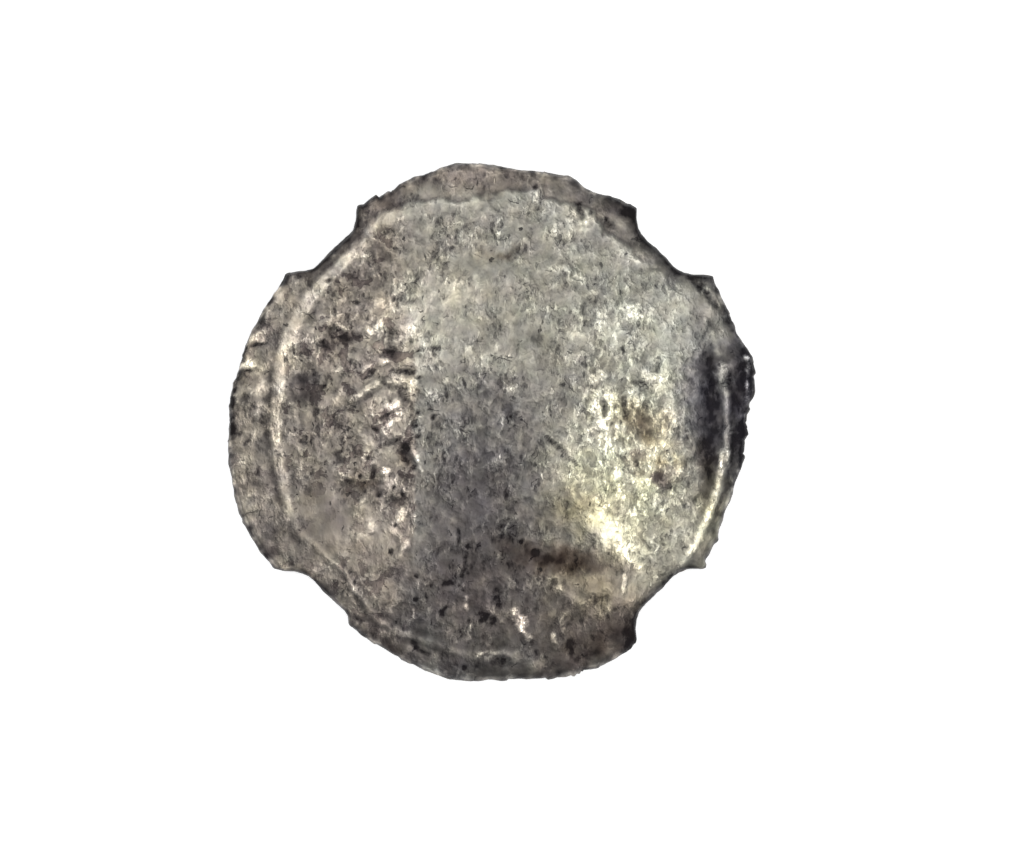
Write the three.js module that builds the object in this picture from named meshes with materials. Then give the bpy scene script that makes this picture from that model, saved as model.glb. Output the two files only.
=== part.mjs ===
// A worn, hand-struck silver drachm, lying on its reverse with the obverse up.
// Millimetres, +Z up. The origin is on the surface it lies on, under the middle of its box.
// +X is the obverse's right and +Y its top. Bearings are degrees from +X, turning towards +Y.
import * as THREE from 'three';

// Driving dimensions
const FLAN_WIDTH = 20.0; // across X, from the left edge to the right
const EDGE_THICKNESS = 0.95;
const DOME_RISE = 0.42; // how far the obverse's middle stands above its rim
const STRIKE_OFFSET = { x: 0.36, y: -0.26 }; // the dies' centre, off the flan's centre

// The edge of the hand-hammered flan, as its radius at the bearings where it swells or flattens
const EDGE_LANDMARKS = [
  [0, 9.62], [3, 9.66], [5, 9.90], [11, 10.10], [21, 9.80], [33, 9.88], [58, 9.68], [66, 9.50],
  [72, 9.66], [85, 9.60], [97, 9.80], [105, 9.72], [110, 9.60], [121, 9.52], [147, 9.52], [162, 9.74],
  [180, 9.92], [198, 10.14], [212, 9.96], [237, 9.38], [250, 9.62], [262, 9.82], [278, 9.80],
  [289, 10.08], [303, 10.02], [326, 9.70], [340, 9.46], [352, 9.58],
];

// Four bites out of the edge: flat-floored scallops with flared sides
const NOTCHES = [
  { bearing: 45, floor: 8.97 },
  { bearing: 133, floor: 8.84 },
  { bearing: 226.5, floor: 9.00 },
  { bearing: 314.5, floor: 8.93 },
];
const NOTCH_FLOOR_HALF = 1.0; // half the width of the flat floor
const NOTCH_WALL_RUN = 0.85; // how far a side runs outwards from the floor's end
const NOTCH_WALL_RISE = 0.55; // and how far it climbs over that run

// The line border struck round the obverse, and the broader, flatter one round the reverse
const BORDER_RADIUS = 8.53;
const BORDER_WIDTH = 0.56;
const BORDER_CREST = 0.20;
const BORDER_RISE = 0.11;
const BORDER_CLEARANCE = 0.12; // metal kept between the border's foot and the edge
const REST_RADIUS = 8.05;
const REST_WIDTH = 0.70;
const REST_FOOT = 0.30; // width of each sloping foot beside the flat band
const REVERSE_HOLLOW = 0.10; // depth of the reverse's field behind its border
const MARGIN_LIFT = 0.09; // clearance under the reverse's margin

// The edge's rounding, wider where it meets the obverse
const OBVERSE_ROUND = 0.26;
const REVERSE_ROUND = 0.20;

// What is left of the struck design: worn swells of the field, in millimetres off the dies' centre
const FIELD_SWELLS = [
  { x: -4.3, y: 2.9, rise: 0.06, spread: 0.9 },
  { x: -4.1, y: 0.7, rise: 0.08, spread: 0.9 },
  { x: -4.3, y: -1.6, rise: 0.07, spread: 0.8 },
  { x: -3.6, y: -4.2, rise: 0.05, spread: 1.0 },
  { x: 4.5, y: 0.9, rise: 0.08, spread: 1.1 },
  { x: 4.6, y: -3.9, rise: 0.09, spread: 1.2 },
  { x: 1.2, y: -6.4, rise: 0.05, spread: 0.9 },
];
const REVERSE_SWELL = { rise: 0.05, spread: 2.6 }; // the worn mass in the middle of the reverse

// Steps of the faceted surface
const BEARING_STEPS = 240;
const OUTLINE_POINTS = 3600;
const FIELD_SHARES = [0.2, 0.4, 0.6, 0.78, 0.92];
const REVERSE_SHARES = [0.3, 0.6, 0.85];

const FLAN_RADIUS = FLAN_WIDTH / 2;
const toRadians = THREE.MathUtils.degToRad;

/** Bearing a measured from bearing b, from -180 to 180 degrees. */
function turnFrom(a, b) {
  return THREE.MathUtils.euclideanModulo(a - b + 180, 360) - 180;
}

/** Points close together along the smooth closed curve through the landmarks, with their bearings. */
const flanOutline = new THREE.CatmullRomCurve3(
  EDGE_LANDMARKS.map(([bearing, radius]) => {
    return new THREE.Vector3(radius, 0, 0).applyAxisAngle(new THREE.Vector3(0, 0, 1), toRadians(bearing));
  }),
  true,
  'centripetal',
).getPoints(OUTLINE_POINTS).map(({ x, y }) => ({
  bearing: THREE.MathUtils.euclideanModulo(THREE.MathUtils.radToDeg(Math.atan2(y, x)), 360),
  radius: Math.hypot(x, y),
}));

/** The flan's radius before the bites, at the outline point nearest a bearing. */
function flanRadius(bearing) {
  const distance = (point) => Math.abs(turnFrom(point.bearing, bearing));
  return flanOutline.reduce((best, point) => (distance(point) < distance(best) ? point : best)).radius;
}

/** The radius at which a notch cuts the flan: a flat floor, then sides that climb as a parabola. */
function notchRadius(bearing, { bearing: middle, floor }) {
  const turn = turnFrom(bearing, middle);
  if (Math.abs(turn) > 45) return Infinity;
  const across = FLAN_RADIUS * Math.abs(Math.sin(toRadians(turn)));
  const wall = Math.max(0, across - NOTCH_FLOOR_HALF) / NOTCH_WALL_RUN;
  return (floor + NOTCH_WALL_RISE * wall ** 2) / Math.cos(toRadians(turn));
}

function edgeRadius(bearing) {
  return Math.min(flanRadius(bearing), ...NOTCHES.map((notch) => notchRadius(bearing, notch)));
}

/** Radius, about the flan's centre, at which the off-centre border line was struck. */
function struckBorder(bearing) {
  const angle = toRadians(bearing);
  return BORDER_RADIUS + STRIKE_OFFSET.x * Math.cos(angle) + STRIKE_OFFSET.y * Math.sin(angle);
}

/** The furthest out that the border's middle can lie with metal left beside it. */
function borderLimit(bearing) {
  return edgeRadius(bearing) - OBVERSE_ROUND - BORDER_CLEARANCE - BORDER_WIDTH / 2;
}

function borderRadius(bearing) {
  return Math.min(struckBorder(bearing), borderLimit(bearing));
}

/** The border's rise, which runs out where a bite has cut the line away. */
function borderRise(bearing) {
  return BORDER_RISE * THREE.MathUtils.smoothstep(borderLimit(bearing) - struckBorder(bearing), -BORDER_CREST, 0);
}

/** A rounded hill: its full rise in the middle, fading out over its spread. */
function swell(distance, { rise, spread }) {
  return rise * Math.exp(-((distance / spread) ** 2));
}

/** The obverse's height: the dome, with the worn swells of the design on it. */
function obverseHeight(x, y) {
  const dome = DOME_RISE * (1 - (x * x + y * y) / FLAN_RADIUS ** 2);
  const swells = FIELD_SWELLS.map((hill) => {
    const distance = Math.hypot(x - STRIKE_OFFSET.x - hill.x, y - STRIKE_OFFSET.y - hill.y);
    return swell(distance, hill);
  });
  return EDGE_THICKNESS + dome + swells.reduce((sum, rise) => sum + rise, 0);
}

/** The reverse's field, hollow behind its border, with a low mass in the middle. */
function reverseHeight(x, y) {
  return REVERSE_HOLLOW - swell(Math.hypot(x, y), REVERSE_SWELL);
}

// One row for each ring of points, from the middle of the reverse round the edge to the middle of
// the obverse. A row gives its radius at a bearing, and its height at the point that lies there.
const restInner = REST_RADIUS - REST_WIDTH / 2;
const restOuter = REST_RADIUS + REST_WIDTH / 2;
const fieldFoot = (bearing) => borderRadius(bearing) - BORDER_WIDTH / 2;
const marginFoot = (bearing) => borderRadius(bearing) + BORDER_WIDTH / 2;
const arris = (bearing) => edgeRadius(bearing) - OBVERSE_ROUND;
const crestHeight = (x, y, bearing) => obverseHeight(x, y) + borderRise(bearing);

const reverseRows = [
  { radius: () => 0, height: reverseHeight },
  ...REVERSE_SHARES.map((share) => ({ radius: () => share * (restInner - REST_FOOT), height: reverseHeight })),
  { radius: () => restInner - REST_FOOT, height: reverseHeight },
  { radius: () => restInner, height: () => 0 },
  { radius: () => restOuter, height: () => 0 },
];
const edgeRows = [
  { radius: (bearing) => edgeRadius(bearing) - REVERSE_ROUND, height: () => MARGIN_LIFT },
  { radius: edgeRadius, height: () => MARGIN_LIFT + REVERSE_ROUND },
  { radius: edgeRadius, height: (x, y) => obverseHeight(x, y) - OBVERSE_ROUND },
  { radius: arris, height: obverseHeight },
];
const obverseRows = [
  { radius: marginFoot, height: obverseHeight },
  { radius: (bearing) => borderRadius(bearing) + BORDER_CREST / 2, height: crestHeight },
  { radius: (bearing) => borderRadius(bearing) - BORDER_CREST / 2, height: crestHeight },
  { radius: fieldFoot, height: obverseHeight },
  ...[...FIELD_SHARES].reverse().map((share) => ({
    radius: (bearing) => share * fieldFoot(bearing),
    height: obverseHeight,
  })),
  { radius: () => 0, height: obverseHeight },
];

/** The coin's surface: a lathe turned with one point a row, each point then set by its row's rule. */
function coinGeometry() {
  const rows = [...reverseRows, ...edgeRows, ...obverseRows];
  const profile = rows.map(({ radius, height }) => new THREE.Vector2(radius(0), height(radius(0), 0)));
  const geometry = new THREE.LatheGeometry(profile, BEARING_STEPS).rotateX(Math.PI / 2);
  const points = geometry.getAttribute('position');
  for (let i = 0; i < points.count; i += 1) {
    const { radius, height } = rows[i % rows.length];
    const step = Math.floor(i / rows.length) % BEARING_STEPS;
    const bearing = (360 * step) / BEARING_STEPS;
    const x = radius(bearing) * Math.cos(toRadians(bearing));
    const y = radius(bearing) * Math.sin(toRadians(bearing));
    points.setXYZ(i, x, y, height(x, y, bearing));
  }
  geometry.computeBoundingBox();
  const box = geometry.boundingBox;
  const middle = box.getCenter(new THREE.Vector3());
  const toWidth = FLAN_WIDTH / (box.max.x - box.min.x);
  geometry.translate(-middle.x, -middle.y, 0).scale(toWidth, toWidth, 1);
  geometry.computeVertexNormals();
  return geometry;
}

const tonedSilver = new THREE.MeshStandardMaterial({ color: 0x8f8a82, roughness: 0.42, metalness: 0.9 });

const coin = new THREE.Mesh(coinGeometry(), tonedSilver);
coin.name = 'coin';

const drachm = new THREE.Group();
drachm.add(coin);

export default drachm;
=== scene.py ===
import math

import bpy
import numpy as np
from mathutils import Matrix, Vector


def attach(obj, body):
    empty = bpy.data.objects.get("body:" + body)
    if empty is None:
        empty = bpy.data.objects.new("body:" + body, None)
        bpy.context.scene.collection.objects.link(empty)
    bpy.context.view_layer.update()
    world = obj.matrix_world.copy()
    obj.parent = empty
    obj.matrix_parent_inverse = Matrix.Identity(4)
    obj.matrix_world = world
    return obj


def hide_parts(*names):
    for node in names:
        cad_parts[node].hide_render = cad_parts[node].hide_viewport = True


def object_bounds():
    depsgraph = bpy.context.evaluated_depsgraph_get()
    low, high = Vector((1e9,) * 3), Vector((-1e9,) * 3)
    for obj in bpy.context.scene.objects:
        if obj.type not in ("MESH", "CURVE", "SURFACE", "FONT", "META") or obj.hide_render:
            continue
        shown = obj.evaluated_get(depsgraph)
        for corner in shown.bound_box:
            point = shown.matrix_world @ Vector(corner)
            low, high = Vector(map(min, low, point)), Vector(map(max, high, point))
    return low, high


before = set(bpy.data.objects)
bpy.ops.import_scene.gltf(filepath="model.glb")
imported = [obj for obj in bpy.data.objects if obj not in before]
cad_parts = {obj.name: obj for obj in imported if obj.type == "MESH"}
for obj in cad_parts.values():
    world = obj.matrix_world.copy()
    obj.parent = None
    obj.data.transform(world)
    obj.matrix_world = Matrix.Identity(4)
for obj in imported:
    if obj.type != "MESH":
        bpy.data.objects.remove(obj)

cad_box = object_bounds()
coin_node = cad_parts["coin"]

# Sizes are in millimetres, from the point under the middle of the coin. +X is the obverse's right and
# +Y its top. Bearings are degrees from +X, turning towards +Y.
MM = 0.001
FLAN_RADIUS = (cad_box[1].x - cad_box[0].x) / 2 / MM
DIE_CENTRE = (0.36, -0.26)

# The flan: its edge, the low dome of the obverse and the rounding of its arrises
EDGE_THICKNESS = 0.95
DOME_RISE = 0.42
OUTLINE_HEIGHT = 0.29  # the height at which the solid coin has its full outline
OUTLINE_TOLERANCE = 0.004
WALL_GAP = 0.03  # how far below that height the edge's wall ends
EDGE_DEGREE = 0.17  # the length of edge in one degree, roughly
EDGE_BULGE = 0.05
EDGE_ROUGHNESS = 0.05
OBVERSE_ROUND = 0.13
REVERSE_ROUND = 0.20

# The reverse: the flat band that it rests on, the hollow field inside it and the margin outside it
REST_RADIUS = 8.05
REST_HALF = 0.35
REST_FOOT = 0.30
REVERSE_HOLLOW = 0.10
MARGIN_LIFT = 0.09
REVERSE_TUCK = 0.004  # the share by which its rim is drawn in under the edge

# The skin's relief: heights of its swells and lumps, and depths of its pocks and single pits
SWELL_HEIGHT = 0.034
LUMP_HEIGHT = 0.026
POCK_DEPTH = 0.008
PIT_DEPTH = 0.03

# Tones of the skin. Silver goes from 0 for black to 1 for bright bare metal, and carries painted light and
# shade as well as tarnish and wear.
OBVERSE_SILVER = 0.495
PIT_DARKNESS = 0.34
EDGE_TONES = {
    "silver": 0.36, "redness": 0.08, "yellowness": 0.04, "grime": 0.25,
    "coarseness": 0.8, "blotching": 0.6, "crust": 0, "strokes": 0,
}
REVERSE_TONES = {
    "silver": 0.40, "redness": 0.07, "yellowness": 0.04, "grime": 0.15,
    "coarseness": 0.5, "blotching": 0.3, "crust": 0.1, "strokes": 0,
}

# Patches that reach less than this are small, and small ones that gleam less than this have crisp edges.
# Each kind is broken up by its own share of mottling.
SMALL_REACH = 1
CRISP_GLEAM = -0.15
BROAD_MOTTLING = 0.15
SMALL_MOTTLING = 0.9
CRISP_MOTTLING = 0.45

# Where the rubbed middle of the field begins on the left
RUB_LINE = -2.88

# Steps of the mesh: cells across each face, and rows of cells up the edge
OBVERSE_CELLS = 270
REVERSE_CELLS = 135
EDGE_ROWS = 6
EVEN_RADIUS = 0.96 * FLAN_RADIUS  # the circle that the grid keeps to, away from the rim
CREST_REACH = 4  # how many cells away a crest is measured against
INSET_BLOCKS = 80  # parts in which distances to the rim are worked out, to save memory
NOISE_TABLE = 128  # steps of the random tables behind the grain and the pocks

# The finish: colours from black tarnish to bare silver, the grime's colour, the depth of the finest relief,
# and how far noise strays from its middle before a lump begins
METAL_STOPS = [
    (0.0, (0.014, 0.013, 0.014)),
    (0.3, (0.082, 0.080, 0.077)),
    (0.55, (0.228, 0.224, 0.202)),
    (0.8, (0.565, 0.557, 0.490)),
    (1.0, (0.960, 0.950, 0.835)),
]
GRIME_COLOUR = (0.026, 0.022, 0.019, 1)
BUMP_DEPTH = 0.075
LUMP_LEVEL = 0.045

# The white card, half its width in metres, and the surround
CARD_HALF = 1.5
CARD_COLOUR = (0.86, 0.86, 0.86, 1)
CARD_GLOW = 0.5
SURROUND_COLOUR = (0.93, 0.96, 1.0, 1)
OVERHEAD_GLOW = 0.20
HORIZON_GLOW = 1.0

# The camera looks straight down, as the photograph does, on a view this wide at a level above the floor
VIEW_WIDTH = 38.77
VIEW_CENTRE = (0.774, -0.415)
VIEW_LEVEL = 0.6
CAMERA_HEIGHT = 0.30  # in metres, above that level
SENSOR = 36.0

# Bites in the rim: the bearing of each one's middle and half its width, in degrees, and how many
# degrees it fades out over
BITES = [(45, 14), (133, 14), (226.5, 14), (314.5, 13)]
BITE_FADE = 2

# Chips along the rim: how many corners the chipped line has, and the deepest chip at some bearings
CHIP_CORNERS = 230
CHIPS = [
    (0, 0.11), (8, 0.1), (18, 0.05), (30, 0.04), (62, 0.16), (75, 0.1), (84, 0.03),
    (97, 0.03), (105, 0.1), (118, 0.16), (150, 0.06), (180, 0.04), (200, 0.04), (215, 0.03),
    (240, 0.05), (270, 0.06), (280, 0.1), (300, 0.14), (330, 0.16),
]

# The worn rim lies a little off the solid's, towards this bearing
RIM_SHIFT = 0.075
RIM_SHIFT_BEARING = 310

# Sharp corners where a bite meets the rim, and burrs between bites: bearing, and how far each stands out
CORNERS = [
    (33.2, 0.05), (55.9, 0.05), (122, 0.12), (144.6, 0.08), (213.8, 0.04), (234.7, 0.08),
    (303.6, 0.1), (2.6, 0.15), (357, 0.14), (324.8, 0.12), (332.2, 0.1), (171.6, 0.1),
    (173.2, 0.07), (174.8, 0.07), (176.6, 0.06),
]
CORNER_HALF_WIDTH = 1.3  # in degrees

# The obverse near its edge: bearing, drop at the edge, how far in the drop starts, painted edge shade and its
# reach
RIM_SINK = [
    (0, 0.1, 0.8, 0.15, 0.25), (8, 0.1, 0.8, 0.18, 0.35), (20, 0.1, 0.8, 0.3, 0.45),
    (28, 0.08, 0.7, 0.28, 0.35), (36, 0.1, 0.7, 0.36, 0.5), (52, 0.1, 0.7, 0.36, 0.5),
    (56, 0.08, 0.6, 0.26, 0.3), (61, 0.06, 0.6, 0.1, 0.12), (78, 0.02, 0.5, 0.14, 0.1),
    (100, 0.02, 0.5, 0.18, 0.1), (116, 0.04, 0.5, 0.16, 0.1), (124, 0.12, 0.7, 0.36, 0.4),
    (142, 0.12, 0.7, 0.36, 0.4), (148, 0.03, 0.4, 0.26, 0.12), (165, 0.03, 0.4, 0.3, 0.18),
    (171, 0.03, 0.4, 0.44, 0.38), (178, 0.02, 0.4, 0.44, 0.38), (184, 0.02, 0.4, 0.34, 0.28),
    (190, 0.02, 0.4, 0.16, 0.14), (215, 0.02, 0.4, 0.18, 0.1), (226, 0.03, 0.3, 0.18, 0.1),
    (240, 0.06, 0.6, 0.1, 0.12), (262, 0.08, 0.7, 0.06, 0.12), (290, 0.06, 0.7, 0.06, 0.2),
    (306, 0.08, 0.5, 0.3, 0.4), (320, 0.08, 0.5, 0.3, 0.4), (326, 0.05, 0.5, 0.1, 0.1),
    (340, 0.08, 0.6, 0.1, 0.15), (350, 0.1, 0.8, 0.15, 0.25),
]

# The border line: bearing about the dies' centre, radius, half width, rise and gleam
BORDER = [
    (0, 8.55, 0.14, 0.05, 0.2), (10, 8.6, 0.16, 0.04, 0.12), (26, 8.6, 0.2, 0, 0),
    (92, 8.5, 0.25, 0, 0), (104, 8.62, 0.25, 0.015, 0.03), (116, 8.98, 0.25, 0.03, 0.06),
    (122, 8.98, 0.25, 0.035, 0.11), (128, 8.66, 0.24, 0.035, 0.18), (136, 8.62, 0.26, 0.04, 0.2),
    (148, 8.72, 0.28, 0.04, 0.17), (158, 8.74, 0.28, 0.04, 0.17), (170, 8.5, 0.26, 0.04, 0.14),
    (180, 8.54, 0.24, 0.04, 0.12), (186, 8.52, 0.24, 0.04, 0.14), (194, 8.48, 0.24, 0.04, 0.15),
    (201, 8.6, 0.22, 0.03, 0.12), (206, 8.66, 0.2, 0.02, 0.05), (214, 8.26, 0.13, 0.025, 0.03),
    (223, 8.02, 0.11, 0.03, 0.05), (230, 8.3, 0.11, 0.03, 0.05), (237, 8.64, 0.13, 0.025, 0.06),
    (250, 8.54, 0.15, 0.025, 0.07), (264, 8.66, 0.18, 0.015, 0.04), (285, 8.6, 0.2, 0, 0),
    (318, 8.56, 0.16, 0, 0), (323, 8.56, 0.18, 0.025, 0.08), (336, 8.52, 0.19, 0.035, 0.17),
    (348, 8.49, 0.19, 0.045, 0.22), (355, 8.52, 0.14, 0.045, 0.22),
]

# Where the struck field ends in a step down to the margin: bearing, radius and depth
FIELD_STEP = [
    (20, 8.6, 0), (50, 8.3, 0.02), (62, 8.45, 0.06), (72, 8.85, 0.06), (80, 9.15, 0.05), (88, 8.95, 0.04),
    (98, 8.75, 0.04), (118, 9.25, 0.04), (126, 9.1, 0.02), (140, 8.9, 0),
]

# Broad patches: centre, the two reaches, turn in degrees, rise, gleam, redness and yellowness
PATCHES = [
    # The worn swells of the design on the right and below, with a painted highlight on the shoulder and
    # painted shade in the groove under it
    ((4.6, -4), (2.2, 1.1), -47, 0.048, 0.06, 0.02, 0.08),
    ((4.1, -6.6), (1.5, 0.8), -10, 0.07, -0.1, 0.08, 0.12),
    ((2.6, -5.25), (1.8, 0.48), -8, -0.055, -0.38, 0.24, 0.16),
    ((5, 0.4), (1.2, 1.6), 20, 0.04, 0, 0, 0),
    ((5.35, 1.55), (0.7, 0.6), 0, 0.05, -0.1, 0, 0),
    # The column of worn strokes on the left, with its hollows
    ((-4, 0.6), (0.9, 2.6), 5, 0.03, 0, 0, 0),
    ((-2.75, 3.05), (0.8, 0.8), 0, 0.03, 0.08, 0, 0),
    ((-4.85, -4.05), (0.5, 0.6), 20, 0.02, 0.09, 0, 0.03),
    ((-5.65, 3.12), (0.72, 0.42), 5, -0.03, -0.21, 0.06, 0),
    ((-7.1, 1.3), (0.5, 0.6), 0, -0.03, -0.32, 0, -0.03),
    ((-4.9, -2.45), (0.6, 0.36), 0, -0.03, -0.1, 0.08, 0.06),
    ((-3.25, -1.35), (0.3, 0.42), 0, -0.03, -0.12, 0.08, 0.06),
    # Smears
    ((0.4, 6.2), (0.6, 0.3), 5, -0.02, -0.11, 0.08, 0.08),
    ((1.65, 3.05), (0.5, 0.26), -8, -0.015, -0.12, 0, 0),
    ((6.45, -2.25), (0.4, 0.36), 0, -0.03, -0.3, 0.08, -0.1),
    ((5.5, -1.5), (0.45, 0.36), 0, -0.02, -0.22, 0.08, 0),
    # A painted dark reflection in the hollow inside the border on the right
    ((7.95, 0.6), (0.8, 2.3), 4, -0.05, -0.27, 0, -0.16),
    ((8.32, 0.5), (0.3, 1.7), 4, -0.04, -0.3, 0, -0.1),
    # Rubbed silver on the right and above, brightened by a painted sheen of the light
    ((5.4, -2.6), (2.3, 2), -30, 0, 0.2, -0.02, 0.12),
    ((3.6, -1.9), (1.6, 1.3), -40, 0, 0.06, 0, 0.06),
    ((4.2, 0.55), (0.9, 0.9), 0, 0, 0.05, 0, 0.06),
    ((5.2, 4.6), (2, 2.2), 0, 0, 0.085, -0.03, 0),
    ((6.2, 1.2), (1.4, 1.8), 0, 0, 0.12, -0.02, 0.04),
    ((7.1, 3.5), (1, 1.3), 0, 0, 0.035, -0.03, 0),
    ((6.6, -0.6), (0.45, 0.75), 0, 0, 0.21, 0.02, 0.06),
    ((1.2, 3.8), (4, 3.2), 0, 0.04, 0.03, 0, 0.03),
    # Painted dark reflection over the middle, painted shade below, at the right margin and by the upper right
    # bite, and grey and brown toning, browner at the margins
    ((0, 0), (2.4, 1.9), 0, 0, -0.16, 0.02, -0.05),
    ((-0.8, -3), (2.2, 1.7), 0, 0, -0.19, 0.04, -0.06),
    ((-0.7, -6.2), (2.7, 1.8), 0, 0, -0.32, 0.08, -0.04),
    ((1.5, -7.6), (3.5, 1), 0, 0, -0.1, 0.06, 0.03),
    ((4.1, -8.4), (2.5, 0.8), 25, 0, -0.34, 0.16, 0.05),
    ((-1.5, -9.2), (3.5, 0.5), -8, 0, -0.22, 0.04, -0.03),
    ((9.5, 0.6), (0.55, 3.2), 0, 0, -0.56, 0.02, -0.2),
    ((-0.5, 9.2), (3, 0.5), 0, 0, 0, 0.06, 0.03),
    ((4.8, 7.9), (1.2, 0.5), -35, 0, -0.23, 0.02, 0),
    ((5.65, -0.1), (1, 0.6), -25, 0, -0.35, 0.16, 0.16),
    ((6.6, -1.6), (0.7, 0.7), 20, 0, -0.15, 0.1, 0.1),
    ((2.9, -3.4), (1.2, 0.8), 0, 0, 0, 0.06, 0.12),
    # Toning of the worn skin here and there
    ((8.15, -1.7), (0.36, 1.2), 8, -0.02, -0.42, 0.08, 0.1),
    ((-5.3, 5.2), (0.8, 0.8), 0, 0, -0.1, 0.02, 0),
    ((-9.1, 2.6), (0.55, 2.4), 14, 0, 0.1, 0, 0.05),
    ((-8.36, -1.2), (0.5, 2.2), 4, 0, -0.03, 0, 0),
    ((-1.6, 4.8), (1.3, 0.9), 0, 0, 0.06, 0.02, 0.02),
    ((-2.3, 6.4), (1.5, 1.2), 0, 0, 0, 0.03, 0.03),
    ((-3.1, -7.6), (1.1, 0.7), -40, 0, -0.08, -0.02, -0.02),
    ((3.2, -6.2), (2, 1.6), 0, 0, 0, 0.03, 0.05),
    ((8.3, -3.4), (0.6, 2.2), -12, 0, 0, 0.02, 0.12),
    ((-7.9, 4.4), (0.6, 1.2), -35, 0, 0.06, 0, 0),
    ((-4.8, -6.9), (1.2, 0.6), -35, 0, -0.2, 0, 0),
    ((-2.3, -8.4), (0.8, 0.4), -15, 0, -0.07, 0, 0),
    ((8.2, -3.1), (0.4, 0.9), -8, 0, -0.06, 0, 0),
    ((5.3, -8.4), (0.7, 0.4), 30, 0, -0.16, 0, 0),
    # A painted highlight on the shoulder
    ((4.75, -4.45), (1, 0.45), -47, 0, 0.12, 0, 0),
    ((-4.7, 7), (0.5, 0.26), 38, 0, 0.14, -0.03, -0.02),
    ((-6.2, 5.35), (0.9, 0.28), 47, 0, 0.07, -0.05, -0.03),
]

# Areas of the worn skin that are only lighter or darker, by toning and by painted light and shade: centre,
# the two reaches and gleam
AREAS = [
    (-6.2, -3.4, 1.5, 1.3, -0.06), (-4.6, 5.7, 1.3, 1.3, -0.04),
    (5.2, -0.7, 1.7, 2.3, 0.16), (6.6, -1.4, 0.8, 1.2, 0.08), (2.1, -3.6, 1.4, 1.2, -0.09),
    (3.5, -2.6, 0.8, 0.9, -0.05), (8.25, 2.1, 0.5, 0.6, -0.2), (8.25, 3.6, 0.5, 0.7, 0.04),
    (5.2, 5.1, 0.7, 0.5, -0.11), (3.9, 3.4, 0.9, 0.7, 0.07), (0.7, 3.8, 0.9, 0.9, -0.08),
    (5.3, -5.6, 0.6, 0.8, 0.08), (2.2, -6.9, 0.8, 0.6, -0.1), (0, -8.5, 3.2, 0.45, -0.12),
    (-3.2, 4.2, 1.2, 1.3, 0.08), (-5.3, 2.2, 0.5, 0.4, 0.07), (-3.9, 0.6, 0.7, 1, 0.09),
    (-3.8, -4, 0.7, 0.8, 0.12), (-6.6, -0.6, 1.2, 1.5, -0.09), (-8.4, -3.2, 0.6, 1.8, -0.07),
    (-8.6, 4.9, 0.8, 1, 0.11), (2, 9.6, 1.2, 0.25, 0.2), (-2.3, 9.6, 0.7, 0.25, 0.08),
    (-5.3, 0, 0.8, 1.3, -0.09), (-3.8, 6.6, 0.8, 0.7, -0.07), (-6.8, 3.6, 0.7, 0.7, -0.06),
    (0.7, -3.9, 0.7, 0.7, -0.09), (-0.1, -6.9, 1.1, 0.6, 0.12), (3.7, -2.4, 0.7, 0.7, -0.03),
    (5.7, -1.6, 0.9, 1.1, 0.05), (5.2, -6.9, 0.6, 0.5, 0.08), (-9.2, 0.6, 0.6, 0.8, -0.06),
    (-4.6, 3.6, 1, 0.8, 0.08), (-3.9, -2.45, 0.5, 0.5, -0.06), (-0.8, 2.1, 0.9, 0.7, 0.06),
    (0.7, 8.1, 1, 0.4, 0.06), (5.4, 0.6, 0.5, 0.5, 0.09), (3.7, 0.6, 0.4, 0.6, 0.04),
    (6.7, -0.9, 0.6, 0.6, 0.03), (-8.4, 0.8, 0.5, 0.8, -0.12), (-7.5, -4.6, 1.1, 0.9, -0.12),
    (1, -8.5, 1, 0.4, -0.08), (6.2, -3.9, 1, 0.6, -0.06), (5.2, -5.4, 0.6, 0.5, -0.05),
    (5.2, 2.8, 1.4, 1.4, -0.03), (-4.6, 5.1, 1.2, 0.8, -0.04), (0.7, 2.9, 0.8, 1, -0.04),
    (4.4, 0.6, 1.1, 0.5, 0.04), (6.7, 0.6, 0.6, 0.5, -0.04), (8.2, 5.2, 0.5, 0.5, 0.13),
    (6.7, -5.4, 0.5, 0.5, -0.07), (-6.1, 3.6, 0.8, 0.6, -0.06), (-8.4, 2.1, 0.4, 0.6, -0.06),
    (-5.3, 6.6, 0.6, 0.5, -0.06), (1.5, -1.8, 1.1, 1, -0.08), (7.45, 1.3, 0.4, 0.6, 0.08),
]
PATCHES += [((x, y), (wide, tall), 0, 0, gleam, 0, 0) for x, y, wide, tall, gleam in AREAS]

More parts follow.
